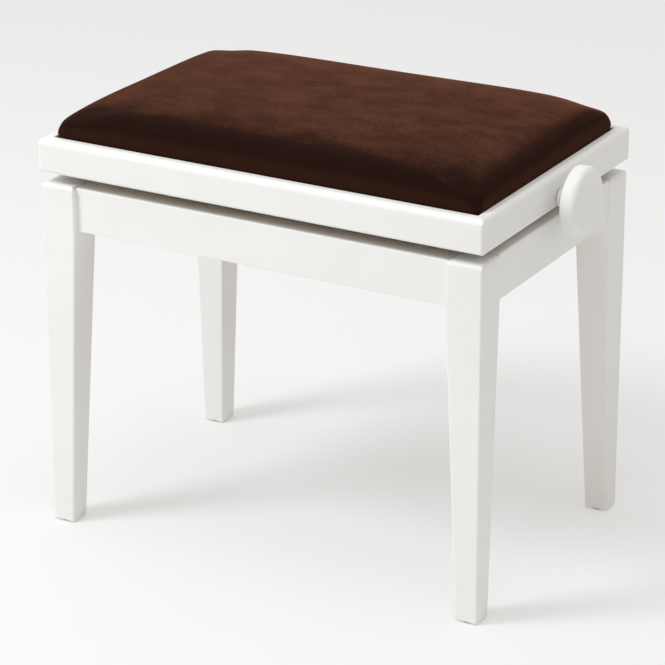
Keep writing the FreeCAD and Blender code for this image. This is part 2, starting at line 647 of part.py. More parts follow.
def cushion(inset, floor):
    """Pillow-shaped cushion, inset from the cover's outside, from a floor height up."""
    wires = []
    for z, half_x, half_y, corner in cushion_sections():
        wires.append(rounded_wire(half_x - inset, half_y - inset, corner - inset, z - inset))
    whole = Part.makeLoft(wires, True, True)
    above = box(-TRAY_LENGTH, TRAY_LENGTH, -TRAY_WIDTH, TRAY_WIDTH, floor, TRAY_TOP + TRAY_LENGTH)
    return whole.common(above)


foam = cushion(COVER_THICK + FOAM_GAP, BOARD_BOTTOM + BOARD_THICK)
fold_opening = rounded_prism(
    OPEN_X - COVER_FOLD, OPEN_Y - COVER_FOLD, BOARD_CORNER,
    BOARD_BOTTOM - 2 * COVER_THICK, BOARD_BOTTOM + COVER_THICK)
cover = cushion(0.0, BOARD_BOTTOM - COVER_THICK).cut(cushion(COVER_THICK, BOARD_BOTTOM)).cut(fold_opening)
save("seat_foam", [foam])
save("seat_cover", [cover.cut(Part.makeCompound(seat_screws(WOOD_FIT) + staples()))])
save("cover_staples", staples())

# Upper lift rails: steel angles under the board, pivot at the left, traveller's slot at the right
upper_web = box(
    -LIFT_RAIL_HALF, LIFT_RAIL_HALF, LIFT_RAIL_Y, RAIL_OUT_Y, BOARD_BOTTOM - LIFT_RAIL_HEIGHT, BOARD_BOTTOM)
upper_flange = box(
    -LIFT_RAIL_HALF, LIFT_RAIL_HALF, LIFT_RAIL_Y, LIFT_RAIL_Y + LIFT_RAIL_FLANGE,
    BOARD_BOTTOM - LIFT_RAIL_THICK, BOARD_BOTTOM)
upper_rail = upper_web.fuse(upper_flange).removeSplitter()
upper_slot = stadium(slot_low, slot_high, JOURNAL_R + SIDE_PLAY, LIFT_RAIL_Y, RAIL_OUT_Y, SPINDLE_Z)
upper_rail = upper_rail.cut(upper_slot).cut(pin_hole(SPINDLE_Z))
upper_rail = upper_rail.cut(Part.makeCompound(lift_screws(WOOD_FIT)))
save("upper_rail_back", [upper_rail])
save("upper_rail_front", [flip_y(upper_rail)])
save("lift_screws", lift_screws())
save("upper_pivot_pins", both_sides(lift_pin(SPINDLE_Z, ARM_B_IN)))

# Bearings of the spindle: a flanged bush in the right tray rail and a bracket under the board
bush = rod(V(BUSH_INNER_X, 0, SPINDLE_Z), V(TRAY_LENGTH / 2, 0, SPINDLE_Z), BUSH_R)
bush = bush.fuse(rod(V(BUSH_INNER_X, 0, SPINDLE_Z), V(OPEN_X, 0, SPINDLE_Z), BUSH_FLANGE_R)).removeSplitter()
spindle_bore = rod(V(0, 0, SPINDLE_Z), V(TRAY_LENGTH, 0, SPINDLE_Z), SPINDLE_R + RUN_FIT)
save("spindle_bush", [bush.cut(spindle_bore)])

bracket_web = box(
    BRACKET_X, BRACKET_X + LIFT_RAIL_THICK, -BRACKET_HALF, BRACKET_HALF,
    BOARD_BOTTOM - LIFT_RAIL_HEIGHT, BOARD_BOTTOM)
bracket_flange = box(
    BRACKET_X - BRACKET_FLANGE, BRACKET_X, -BRACKET_HALF, BRACKET_HALF,
    BOARD_BOTTOM - LIFT_RAIL_THICK, BOARD_BOTTOM)
bracket = bracket_web.fuse(bracket_flange).removeSplitter().cut(spindle_bore)
save("spindle_bracket", [bracket.cut(Part.makeCompound(lift_screws(WOOD_FIT)))])

# Spindle with its thrust collar, and the turned knob pinned to its outer end
pin_x = (KNOB_NECK_X + KNOB_BACK_X) / 2
insert_end = KNOB_NECK_X + INSERT_LENGTH
bore_end = insert_end - INSERT_FLOOR


def knob_pin(grow=0.0):
    """Roll pin through the knob's neck, the insert and the spindle."""
    half = KNOB_NECK_R + grow
    return rod(V(pin_x, 0, SPINDLE_Z - half), V(pin_x, 0, SPINDLE_Z + half), KNOB_PIN_R + grow)


def collar_screw(grow=0.0):
    """Set screw that locks the thrust collar to the spindle."""
    x = COLLAR_X + COLLAR_LENGTH / 2
    tip = SPINDLE_Z - SPINDLE_R + COLLAR_SCREW_BITE + grow
    return rod(V(x, 0, SPINDLE_Z - COLLAR_R), V(x, 0, tip), COLLAR_SCREW_R + grow)


spindle = rod(V(SPINDLE_INNER_END, 0, SPINDLE_Z), V(bore_end - SPINDLE_END_GAP, 0, SPINDLE_Z), SPINDLE_R)
save("spindle", [spindle.cut(knob_pin(WOOD_FIT)).cut(collar_screw(WOOD_FIT))])

collar = rod(V(COLLAR_X, 0, SPINDLE_Z), V(COLLAR_X + COLLAR_LENGTH, 0, SPINDLE_Z), COLLAR_R)
save("thrust_collar", [collar.cut(spindle_bore).cut(collar_screw(WOOD_FIT))])
save("collar_screw", [collar_screw()])

insert = rod(V(KNOB_NECK_X, 0, SPINDLE_Z), V(insert_end, 0, SPINDLE_Z), INSERT_R)
insert_bore = rod(V(KNOB_NECK_X, 0, SPINDLE_Z), V(bore_end, 0, SPINDLE_Z), SPINDLE_R + RUN_FIT)
save("knob_insert", [insert.cut(insert_bore).cut(knob_pin(WOOD_FIT))])


def knob_body():
    """Turned knob: a neck, then a disc that tapers slightly to a flat face with round edges."""
    half = [V(KNOB_NECK_X, 0, 0), V(KNOB_NECK_X, KNOB_NECK_R, 0), V(KNOB_BACK_X, KNOB_NECK_R, 0),
            V(KNOB_BACK_X, KNOB_R_BACK, 0), V(KNOB_FRONT_X, KNOB_R_FRONT, 0), V(KNOB_FRONT_X, 0, 0)]
    turned = Part.Face(Part.makePolygon(half + half[:1])).revolve(V(0, 0, 0), X, 360)

    def rim_at(shape, x, radius):
        return [e for e in shape.Edges
                if isinstance(e.Curve, Part.Circle)
                and abs(e.Curve.Center.x - x) < 0.01 and abs(e.Curve.Radius - radius) < 0.01]

    turned = turned.makeFillet(KNOB_FRONT_ROUND, rim_at(turned, KNOB_FRONT_X, KNOB_R_FRONT))
    turned = turned.makeFillet(KNOB_BACK_ROUND, rim_at(turned, KNOB_BACK_X, KNOB_R_BACK))
    return turned.translated(V(0, 0, SPINDLE_Z))


insert_hole = rod(V(KNOB_NECK_X, 0, SPINDLE_Z), V(insert_end, 0, SPINDLE_Z), INSERT_R + WOOD_FIT)
save("knob", [knob_body().cut(insert_hole).cut(knob_pin(WOOD_FIT))])
save("knob_pin", [knob_pin()])

# Traveller bar: the spindle's nut, with a journal at each end in the upper rails' slots
bar_half = ARM_A_IN - ARM_GAP - PIN_HEAD_THICK
clip_y = RAIL_OUT_Y + SIDE_PLAY + CLIP_THICK / 2
traveller = box(
    ARM_END_X - TRAVELLER_SIZE / 2, ARM_END_X + TRAVELLER_SIZE / 2, -bar_half, bar_half,
    SPINDLE_Z - TRAVELLER_SIZE / 2, SPINDLE_Z + TRAVELLER_SIZE / 2)
journal_end = clip_y + CLIP_THICK / 2 + ROD_PAST_CLIP
wide_journal = rod(V(ARM_END_X, -RAIL_OUT_Y, SPINDLE_Z), V(ARM_END_X, RAIL_OUT_Y, SPINDLE_Z), JOURNAL_R)
thin_journal = rod(V(ARM_END_X, -journal_end, SPINDLE_Z), V(ARM_END_X, journal_end, SPINDLE_Z), PIN_R)
traveller = traveller.multiFuse([wide_journal, thin_journal]).removeSplitter().cut(spindle_bore)
upper_clip_at = V(ARM_END_X, clip_y, SPINDLE_Z)
traveller = traveller.cut(Part.makeCompound(both_sides(groove(upper_clip_at))))
save("traveller_bar", [traveller])
save("traveller_clips", both_sides(ring_clip(upper_clip_at)))

# Lift arms: pair A swings on the base and is drawn in by the traveller, pair B swings on the seat
arm_mid = PIVOT_X + ARM_LENGTH / 2
arm_far = PIVOT_X + ARM_LENGTH


def lift_arm(y_in, y_out, pivot_z, tilt, cuts):
    """Flat bar with round ends, drawn level, drilled, then tilted about its pivot."""
    bar = stadium(PIVOT_X, arm_far, ARM_WIDTH / 2, y_in, y_out, pivot_z)
    bar = bar.cut(rod(V(PIVOT_X, y_in, pivot_z), V(PIVOT_X, y_out, pivot_z), PIN_R + RUN_FIT))
    for cut in cuts:
        bar = bar.cut(cut)
    return bar.rotated(V(PIVOT_X, 0, pivot_z), Y, tilt)


def hole_across(x, z, radius):
    return rod(V(x, 0, z), V(x, LIFT_RAIL_Y, z), radius)


arm_a = lift_arm(
    ARM_A_IN, ARM_A_OUT, LOWER_PIVOT_Z, -REST_ANGLE,
    [hole_across(arm_mid, LOWER_PIVOT_Z, PIN_R + WOOD_FIT),
     stadium(arm_far - JOURNAL_LOST_MOTION - SIDE_PLAY, arm_far + SIDE_PLAY, JOURNAL_R + SIDE_PLAY,
             ARM_A_IN, ARM_A_OUT, LOWER_PIVOT_Z)])
arm_b = lift_arm(
    ARM_B_IN, ARM_B_OUT, SPINDLE_Z, REST_ANGLE,
    [hole_across(arm_mid, SPINDLE_Z, PIN_R + CENTRE_PLAY),
     hole_across(arm_far, SPINDLE_Z, PIN_R + WOOD_FIT)])
save("lift_arm_a_back", [arm_a])
save("lift_arm_a_front", [flip_y(arm_a)])
save("lift_arm_b_back", [arm_b])
save("lift_arm_b_front", [flip_y(arm_b)])


def clipped_rod(x, z, clip_from):
    """Rod across both sides with a clip groove near each end, and its two clips."""
    clip_at = V(x, clip_from + SIDE_PLAY + CLIP_THICK / 2, z)
    end = clip_at.y + CLIP_THICK / 2 + ROD_PAST_CLIP
    bar = rod(V(x, -end, z), V(x, end, z), PIN_R)
    return bar.cut(Part.makeCompound(both_sides(groove(clip_at)))), both_sides(ring_clip(clip_at))


centre_x = PIVOT_X + (ARM_END_X - PIVOT_X) / 2
centre_rod, centre_clips = clipped_rod(centre_x, (LOWER_PIVOT_Z + SPINDLE_Z) / 2, ARM_B_OUT)
slide_rod, slide_clips = clipped_rod(ARM_END_X, LOWER_PIVOT_Z, RAIL_OUT_Y)
save("centre_rod", [centre_rod])
save("centre_rod_clips", centre_clips)
save("slide_rod", [slide_rod])
save("slide_rod_clips", slide_clips)

print("arm angle at rest and raised:", round(REST_ANGLE, 4), round(RAISED_ANGLE, 4))
print("traveller travel:", round(ARM_END_X - ARM_END_RAISED_X, 4))
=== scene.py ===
import math
import bmesh
import bpy
from mathutils import Matrix, Vector


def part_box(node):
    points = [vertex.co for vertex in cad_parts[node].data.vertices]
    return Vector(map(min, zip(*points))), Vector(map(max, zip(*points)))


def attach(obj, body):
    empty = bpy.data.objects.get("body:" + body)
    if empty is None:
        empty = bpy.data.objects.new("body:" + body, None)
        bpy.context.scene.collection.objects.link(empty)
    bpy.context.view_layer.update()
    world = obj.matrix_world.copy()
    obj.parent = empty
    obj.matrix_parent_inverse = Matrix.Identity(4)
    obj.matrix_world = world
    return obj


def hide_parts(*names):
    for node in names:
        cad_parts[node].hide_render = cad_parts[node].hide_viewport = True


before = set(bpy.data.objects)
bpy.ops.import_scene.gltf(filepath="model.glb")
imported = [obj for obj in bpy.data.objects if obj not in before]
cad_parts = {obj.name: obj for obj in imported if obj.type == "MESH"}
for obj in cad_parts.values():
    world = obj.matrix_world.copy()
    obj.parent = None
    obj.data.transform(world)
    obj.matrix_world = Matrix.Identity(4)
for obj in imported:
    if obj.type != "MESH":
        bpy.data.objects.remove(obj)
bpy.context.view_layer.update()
bpy.context.scene.view_settings.view_transform = "Standard"


# Four legs of solid beech, square at the top and tapered on their two inner faces, with eased edges.
# They are sanded and sprayed with a satin white lacquer that all but hides the grain.
class Wire:
    """A socket of a finish. Sums on it add Math nodes, and node() adds any other node."""

    def __init__(self, socket):
        self.socket = socket

    def node(self, kind, settings, sockets, out=0):
        tree = self.socket.id_data
        made = tree.nodes.new("ShaderNode" + kind)
        for name, value in settings.items():
            setattr(made, name, value)
        for key, value in sockets.items():
            if isinstance(value, Wire):
                tree.links.new(value.socket, made.inputs[key])
            else:
                made.inputs[key].default_value = value
        return Wire(made.outputs[out])

    def sum(self, operation, first, second):
        return self.node("Math", {"operation": operation}, {0: first, 1: second})

    def __add__(self, other):
        return self.sum("ADD", self, other)

    def __sub__(self, other):
        return self.sum("SUBTRACT", self, other)

    def __rsub__(self, other):
        return self.sum("SUBTRACT", other, self)

    def __mul__(self, other):
        return self.sum("MULTIPLY", self, other)

    __radd__ = __add__
    __rmul__ = __mul__

    def stretched(self, x, y, z):
        return self.node("VectorMath", {"operation": "MULTIPLY"}, {0: self, 1: (x, y, z)})

    def noise(self, scale, detail=2.0, roughness=0.5):
        sockets = {"Vector": self, "Scale": scale, "Detail": detail, "Roughness": roughness}
        return self.node("TexNoise", {}, sockets)

    def above(self, low, high):
        sockets = {"Value": self, "From Min": low, "From Max": high}
        return self.node("MapRange", {"interpolation_type": "SMOOTHSTEP"}, sockets)

    def between(self, low, high):
        return self.node("Mix", {"data_type": "RGBA"}, {0: self, 6: low, 7: high}, 2)

    def bump(self, depth):
        return self.node("Bump", {}, {"Height": self, "Distance": depth})


def seen(red, green, blue):
    """A colour as an eye reads it off a screen, 0 to 255, as Blender's linear colour."""
    linear = [((c / 255 + 0.055) / 1.055) ** 2.4 for c in (red, green, blue)]
    return (*linear, 1.0)


def new_finish(name):
    material = bpy.data.materials.new(name)
    material.use_nodes = True
    tree = material.node_tree
    place = tree.nodes.new("ShaderNodeTexCoord").outputs["Object"]
    return material, tree.nodes["Principled BSDF"], Wire(place)


def set_shader(shader, sockets):
    for key, value in sockets.items():
        if isinstance(value, Wire):
            shader.id_data.links.new(value.socket, shader.inputs[key])
        else:
            shader.inputs[key].default_value = value


def dress(material, *names):
    for name in names:
        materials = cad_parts[name].data.materials
        materials.clear()
        materials.append(material)


def white_lacquer(name, along):
    material, shader, place = new_finish(name)
    spray = place.noise(11.0, 3.0)
    peel = place.noise(520.0, 2.0)
    pores = place.stretched(*[60.0 if axis == along else 900.0 for axis in "xyz"]).noise(1.0, 3.0)
    grain = pores.above(0.45, 0.75) * 0.55 + peel * 0.45
    rubbed = place.noise(60.0, 4.0, 0.6)
    set_shader(shader, {
        "Base Color": spray.above(0.3, 0.7).between(seen(240, 239, 235), seen(243, 242, 239)),
        "Roughness": 0.36 + rubbed * 0.16,
        "Normal": grain.bump(0.00002),
        "Specular IOR Level": 0.4,
    })
    return material


legs = ["leg_front_left", "leg_front_right", "leg_back_left", "leg_back_right"]
dress(white_lacquer("lacquer_upright", "z"), *legs)


# A round glide of dark plastic nailed under each foot, so that the lacquer doesn't touch the floor.
# Moulded with a fine spark texture, and scuffed by being pushed about.
def dark_plastic(name):
    material, shader, place = new_finish(name)
    spark = place.noise(2200.0, 2.0)
    scuffs = place.stretched(900.0, 160.0, 300.0).noise(1.0, 4.0, 0.7).above(0.56, 0.72)
    set_shader(shader, {
        "Base Color": scuffs.between(seen(38, 34, 31), seen(74, 70, 66)),
        "Roughness": 0.42 + scuffs * 0.25,
        "Normal": (spark - scuffs * 0.6).bump(0.00004),
    })
    return material


dress(dark_plastic("glide_plastic"), "foot_glides")


# Four aprons of beech between the legs, set back from the leg faces and glued on dowels.
# They wear the same white lacquer, with the grain running along each board.
lacquer_long = white_lacquer("lacquer_long", "x")
lacquer_short = white_lacquer("lacquer_short", "y")
dress(lacquer_long, "apron_front", "apron_back")
dress(lacquer_short, "apron_left", "apron_right")


# Corner blocks across the inner corners, two cross rails for the lift, and all the dowels.
# Plain steamed beech, planed and left bare because nobody sees it, with its short dark flecks.
def bare_beech(name, along):
    material, shader, place = new_finish(name)
    stretch = [5.0 if axis == along else 110.0 for axis in "xyz"]
    rings = place.stretched(*stretch).noise(1.0, 4.0, 0.55)
    stretch = [150.0 if axis == along else 1300.0 for axis in "xyz"]
    flecks = place.stretched(*stretch).noise(1.0, 1.0).above(0.62, 0.70)
    planed = rings.above(0.25, 0.75).between(seen(206, 172, 132), seen(182, 143, 103))
    set_shader(shader, {
        "Base Color": (flecks * 0.55).between(planed, seen(128, 88, 58)),
        "Roughness": 0.52 + rings * 0.2,
        "Normal": (rings * 0.4 - flecks).bump(0.00005),
    })
    return material


beech_cross = bare_beech("beech_cross", "y")
beech_long = bare_beech("beech_long", "x")
dress(bare_beech("beech_block", "z"), *["corner_block_" + c for c in
      ("front_left", "front_right", "back_left", "back_right")])
dress(beech_cross, "cross_rail_left", "cross_rail_right", "cross_rail_dowels")
dress(beech_long, "apron_dowels")


# Hanger bolts with washers and nuts draw each leg into its corner; screws hold the blocks and rails.
# Turned mild steel with bright zinc plating, slightly cloudy, with the fine texture of the plating.
def zinc_plate(name):
    material, shader, place = new_finish(name)
    cloud = place.noise(150.0, 4.0, 0.6)
    plating = place.noise(2600.0, 1.0)
    set_shader(shader, {
        "Base Color": cloud.above(0.3, 0.7).between(seen(196, 199, 203), seen(222, 221, 214)),
        "Metallic": 1.0,
        "Roughness": 0.26 + cloud * 0.22,
        "Normal": plating.bump(0.000012),
    })
    return material


zinc = zinc_plate("zinc_plate")
dress(zinc, "leg_bolts", "leg_bolt_nuts", "leg_bolt_washers", "corner_block_screws",
      "lower_rail_screws", "lift_screws", "ledge_screws", "seat_screws", "cover_staples")


# Two pairs of steel angle rails, one pair screwed to the cross rails and one under the seat board,
# and the crossed flat arms between them: cut, punched and powder coated satin black.
def black_coat(name):
    material, shader, place = new_finish(name)
    powder = place.noise(900.0, 3.0, 0.6)
    rub = place.stretched(40.0, 260.0, 260.0).noise(1.0, 4.0, 0.65).above(0.55, 0.8)
    set_shader(shader, {
        "Base Color": rub.between(seen(30, 30, 31), seen(62, 61, 60)),
        "Roughness": 0.46 - rub * 0.12,
        "Normal": powder.bump(0.00006),
        "Coat Weight": 0.15,
    })
    return material


dress(black_coat("black_coat"), "lower_rail_front", "lower_rail_back", "upper_rail_front", "upper_rail_back",
      "lift_arm_a_front", "lift_arm_a_back", "lift_arm_b_front", "lift_arm_b_back", "spindle_bracket")


# Pivot pins, the rods that tie the arms, their spring clips and the traveller bar that runs on the spindle.
# Bright steel turned or drawn to size, greased, and left in its zinc plating.
dress(zinc, "lower_pivot_pins", "upper_pivot_pins", "centre_rod", "centre_rod_clips", "slide_rod",
      "slide_rod_clips", "traveller_bar", "traveller_clips", "thrust_collar", "collar_screw", "knob_pin")


# The spindle: a steel rod with a rolled trapezoid thread of 3 mm lead between two plain journals.
# The knob turns it, and its thread draws the traveller bar along to raise the seat.
THREAD_LEAD = 0.003
THREAD_DEPTH = 0.0012
THREAD_EASE = 0.002
GROOVE_SHARE = 0.18
FLANK_SHARE = 0.14
THREAD_STEP = 0.0003
THREAD_SIDES = 28
spindle_low, spindle_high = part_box("spindle")
spindle_r = (spindle_high.z - spindle_low.z) / 2
spindle_z = (spindle_high.z + spindle_low.z) / 2
thread_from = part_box("spindle_bracket")[1].x + THREAD_EASE
thread_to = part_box("thrust_collar")[0].x - THREAD_EASE


def thread_radius(x, angle):
    if not thread_from < x < thread_to:
        return spindle_r
    ease = min(1.0, (x - thread_from) / THREAD_EASE, (thread_to - x) / THREAD_EASE)
    phase = (x / THREAD_LEAD - angle / (2 * math.pi)) % 1.0
    flank = min(1.0, max(0.0, (abs(phase - 0.5) - GROOVE_SHARE) / FLANK_SHARE))
    return spindle_r - THREAD_DEPTH * ease * (1.0 - flank)


def made_piece(shape, name):
    """Turns a finished bmesh into an object of the scene."""
    mesh = bpy.data.meshes.new(name)
    shape.to_mesh(mesh)
    shape.free()
    piece = bpy.data.objects.new(name, mesh)
    bpy.context.scene.collection.objects.link(piece)
    return piece


def tube_mesh(name, rings, flat_ends=True):
    """Skins a list of rings, each a list of points, into a rod with flat ends or a closed hoop."""
    shape = bmesh.new()
    loops = [[shape.verts.new(p) for p in ring] for ring in rings]
    count = len(loops[0])
    for near, far in zip(loops, loops[1:] if flat_ends else loops[1:] + loops[:1]):
        for i in range(count):
            shape.faces.new((near[i], near[(i + 1) % count], far[(i + 1) % count], far[i]))
    if flat_ends:
        shape.faces.new(list(reversed(loops[0])))
        shape.faces.new(loops[-1])
    bmesh.ops.recalc_face_normals(shape, faces=shape.faces)
    return made_piece(shape, name)


station_count = int((thread_to - spindle_low.x) / THREAD_STEP) + 2
stations = [spindle_low.x + THREAD_STEP * i for i in range(station_count)]
angles = [2 * math.pi * i / THREAD_SIDES for i in range(THREAD_SIDES)]
rings = []
for x in stations + [spindle_high.x]:
    rings.append([(x, thread_radius(x, a) * math.cos(a), spindle_z + thread_radius(x, a) * math.sin(a))
                  for a in angles])
threaded = tube_mesh("threaded_spindle", rings)
threaded.data.materials.append(zinc)
threaded.data.shade_smooth()
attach(threaded, "spindle")
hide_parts("spindle")


# A flanged bush in the right rail carries the spindle, and a threaded insert ties it into the knob.
# Both are turned from brass bar; the tool leaves fine rings and the metal has dulled a little.
def turned_brass(name):
    material, shader, place = new_finish(name)
    tarnish = place.noise(220.0, 4.0, 0.6)
    tool = place.stretched(5200.0, 300.0, 300.0).noise(1.0, 1.0)
    set_shader(shader, {
        "Base Color": tarnish.above(0.35, 0.75).between(seen(214, 176, 106), seen(176, 136, 74)),
        "Metallic": 1.0,
        "Roughness": 0.24 + tarnish * 0.25,
        "Normal": tool.bump(0.00001),
    })
    return material


dress(turned_brass("turned_brass"), "spindle_bush", "knob_insert")


# The seat tray: four lacquered beech rails mitred at the corners, with plywood splines glued in the mitres.
# Two beech ledges screwed inside carry the board, so the cushion can be dropped in and screwed up from below.
dress(lacquer_long, "tray_rail_front", "tray_rail_back")
dress(lacquer_short, "tray_rail_left", "tray_rail_right")
dress(beech_long, "tray_ledge_front", "tray_ledge_back")


# The seat board and the mitre splines are birch plywood: pale rotary veneer on the faces,
# and a dark and a light ply by turns on the sawn edges.
PLY_PAIR = 0.0034


def birch_ply(name):
    material, shader, place = new_finish(name)
    height = place.node("SeparateXYZ", {}, {"Vector": place}, "Z")
    plies = place.node("Math", {"operation": "SINE"}, {0: height * (2 * math.pi / PLY_PAIR)})
    figure = place.stretched(9.0, 70.0, 9.0).noise(1.0, 5.0, 0.6)
    veneer = figure.above(0.3, 0.7).between(seen(222, 196, 158), seen(202, 170, 128))
    set_shader(shader, {
        "Base Color": (plies.above(0.1, 0.5) * 0.5).between(veneer, seen(168, 126, 84)),
        "Roughness": 0.5 + figure * 0.2,
        "Normal": (figure * 0.5).bump(0.00004),
    })
    return material


dress(birch_ply("birch_ply"), "seat_board", "mitre_splines")


# The cushion: a block of firm foam under one piece of brown velour, pulled down over it without a seam,
# so that it swells over the tray's rim, rolls over softly on all sides and is nearly flat in the middle.
SWELL_Z = 0.4564
PILLOW_RISE = 0.0346
PILLOW_POWER = 4
LOW_CORNER = 0.010
MORE_CORNER = 0.028
INNER_CORNER = 0.4
MOST_CORNER = 0.95
EDGE_POWER = 100
NECK_IN = 0.0012
NECK_Z = 0.4530
BASE_EDGE = 0.0015
BASE_GAP = 0.0003
LEAN_RIGHT = 0.0015
LEAN_CORNERS = 0.0024
ROOM_TO_SWELL = 0.0010
MOST_MOVE = 0.0018
HELD_HEIGHT = 0.006
CLOTH_STIFFNESS = 20.0
CLOTH_PRESSURE = 4.0
SWELL_TICKS = 20
EVEN_PASSES = 6
CUSHION_CUTS = 28
CROWDING = 2.4
STRAIGHT_SHARE = 0.62
cover_low, cover_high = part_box("seat_cover")
board_low, board_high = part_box("seat_board")
cushion_x = (cover_low.x + cover_high.x) / 2
half_x = (cover_high.x - cover_low.x) / 2
half_y = (cover_high.y - cover_low.y) / 2
opening_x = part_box("tray_rail_right")[0].x - cushion_x
opening_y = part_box("tray_rail_back")[0].y


def fullness(share):
    return max(0.0, 1 - abs(share) ** PILLOW_POWER) ** (1 / PILLOW_POWER)


def around(side, share, wide, deep, corner):
    """A point of a rounded oblong: side 0 to 3 from the right, and a share from -1 to 1 along that side."""
    if side % 2:
        wide, deep = deep, wide
    bend = max(0.0, abs(share) - STRAIGHT_SHARE) / (1 - STRAIGHT_SHARE) * math.pi / 4
    out = wide - corner + corner * math.cos(bend)
    if bend > 0:
        past = math.copysign(deep - corner + corner * math.sin(bend), share)
    else:
        past = share / STRAIGHT_SHARE * (deep - corner)
    return ((out, past), (-past, out), (-out, -past), (past, -out))[side]


def cushion_mesh(name, rise):
    """The pillow as rings of a grid, closer together outwards, with a skirt to the board and a flat base."""
    shape = bmesh.new()
    grid = {}
    for i in range(-CUSHION_CUTS, CUSHION_CUTS + 1):
        for j in range(-CUSHION_CUTS, CUSHION_CUTS + 1):
            ring = max(abs(i), abs(j))
            size = 1 - (1 - ring / CUSHION_CUTS) ** CROWDING
            full = fullness(size)
            corner = LOW_CORNER + MORE_CORNER * full + INNER_CORNER * (1 - size) * half_y
            corner = min(corner, MOST_CORNER * size * half_y)
            if abs(i) >= abs(j):
                side, step = (0, j) if i > 0 else (2, -j)
            else:
                side, step = (1, -i) if j > 0 else (3, i)
            x, y = around(side, step / max(ring, 1), size * half_x, size * half_y, corner)
            crown = fullness(x / half_x) * fullness(y / half_y)
            crown += (full - crown) * size ** EDGE_POWER
            grid[i, j] = shape.verts.new((x + cushion_x, y, SWELL_Z + rise * crown))
    for i in range(-CUSHION_CUTS, CUSHION_CUTS):
        for j in range(-CUSHION_CUTS, CUSHION_CUTS):
            shape.faces.new((grid[i, j], grid[i + 1, j], grid[i + 1, j + 1], grid[i, j + 1]))
    steps = range(-CUSHION_CUTS, CUSHION_CUTS)
    edge = [grid[CUSHION_CUTS, j] for j in steps] + [grid[-i, CUSHION_CUTS] for i in steps]
    edge += [grid[-CUSHION_CUTS, -j] for j in steps] + [grid[i, -CUSHION_CUTS] for i in steps]
    for shrink, z in ((NECK_IN, NECK_Z), (0.0, board_high.z + BASE_EDGE), (0.0, board_high.z + BASE_GAP)):
        lower = []
        for vert in edge:
            x = (vert.co.x - cushion_x) * (1 - shrink / half_x)
            y = vert.co.y * (1 - shrink / half_y)
            lower.append(shape.verts.new((x + cushion_x, y, z)))
        for i in range(len(edge)):
            ahead = (i + 1) % len(edge)
            shape.faces.new((edge[i], edge[ahead], lower[ahead], lower[i]))
        edge = lower
    shape.faces.new(edge)
    bmesh.ops.recalc_face_normals(shape, faces=shape.faces)
    return made_piece(shape, name)


def lean(point):
    """How much further the stuffing stands up towards the right end, above all at its back corner."""
    along = (point.x - cushion_x) / half_x
    across = point.y / half_y
    return math.sqrt(fullness(along) * fullness(across)) * along * (LEAN_RIGHT + LEAN_CORNERS * across)


def swollen(piece, held_below):
    """Blows the piece up a little as cloth, evens the creases out, and keeps the result as its mesh."""
    held = piece.vertex_groups.new(name="held")
    held.add([v.index for v in piece.data.vertices if v.co.z < held_below], 1.0, "REPLACE")
    cloth = piece.modifiers.new("swell", "CLOTH")
    cloth.settings.vertex_group_mass = "held"
    cloth.settings.bending_stiffness = CLOTH_STIFFNESS
    cloth.settings.use_pressure = True
    cloth.settings.uniform_pressure_force = CLOTH_PRESSURE
    cloth.settings.effector_weights.gravity = 0.0
    cloth.point_cache.frame_start, cloth.point_cache.frame_end = 1, SWELL_TICKS
    for tick in range(1, SWELL_TICKS + 1):
        bpy.context.scene.frame_set(tick)
    graph = bpy.context.evaluated_depsgraph_get()
    blown = [v.co.copy() for v in piece.evaluated_get(graph).data.vertices]
    piece.modifiers.remove(cloth)
    bpy.context.scene.frame_set(1)
    moves = [after - vertex.co for vertex, after in zip(piece.data.vertices, blown)]
    moves = [move * min(1.0, MOST_MOVE / max(move.length, 1e-9)) for move in moves]
    for _ in range(EVEN_PASSES):
        shared = [[move] for move in moves]
        for edge in piece.data.edges:
            near, far = edge.vertices
            shared[near].append(moves[far])
            shared[far].append(moves[near])
        moves = [sum(some, Vector()) / len(some) if v.co.z >= held_below else Vector()
                 for some, v in zip(shared, piece.data.vertices)]
    for vertex, move in zip(piece.data.vertices, moves):
        vertex.co += move


def velour(name):
    """Mottled pile with painted shade on the steep rolled sides, and painted sheen that makes it paler where
    the surface tilts to the back and the right.
    """
    material, shader, place = new_finish(name)
    facing = Wire(place.socket.node.outputs["Normal"])
    upright = facing.node("SeparateXYZ", {}, {"Vector": facing}, "Z")
    along = Wire(upright.socket.node.outputs["X"])
    across = Wire(upright.socket.node.outputs["Y"])
    strokes = place.stretched(24.0, 36.0, 24.0).noise(1.0, 5.0, 0.62)
    tufts = place.noise(420.0, 4.0, 0.7)
    fibres = place.noise(1500.0, 2.0, 0.6)
    mottle = tufts.above(0.32, 0.68) * 0.4 + strokes.above(0.32, 0.68) * 0.4 + 0.1
    # Mottled pile with painted sheen: lighter where the surface tilts to the back and the right, darker where
    # it tilts to the front and left.
    mottle_and_painted_sheen = (mottle + along * 0.5 + across * 1.9).between(seen(34, 15, 8), seen(89, 55, 40))
    # Painted shade on the steep rolled sides, darkest where the roll turns over; the rolled mask lays it on
    # the sides only.
    deep = upright.above(0.1, 0.6).between(seen(44, 24, 15), seen(31, 14, 8))
    rolled = (upright + tufts * 0.07 + strokes * 0.05).above(0.92, 1.09)
    set_shader(shader, {
        "Base Color": rolled.between(deep, mottle_and_painted_sheen),
        "Roughness": 0.82 + strokes * 0.12,
        "Normal": (tufts * 0.6 + fibres * 0.4).bump(0.0006),
        "Specular IOR Level": 0.05,
        "Sheen Weight": 0.45,
        "Sheen Roughness": 0.3,
        "Sheen Tint": seen(190, 112, 78),
    })
    return material


brown_velour = velour("brown_velour")
cushion = cushion_mesh("velour_cushion", PILLOW_RISE - ROOM_TO_SWELL)
swollen(cushion, SWELL_Z + HELD_HEIGHT)
for vertex in cushion.data.vertices:
    vertex.co.z += lean(vertex.co)
cushion.data.materials.append(brown_velour)
cushion.data.shade_smooth()
cushion.modifiers.new("finer_mesh", "SUBSURF")
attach(cushion, "seat")
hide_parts("seat_foam")


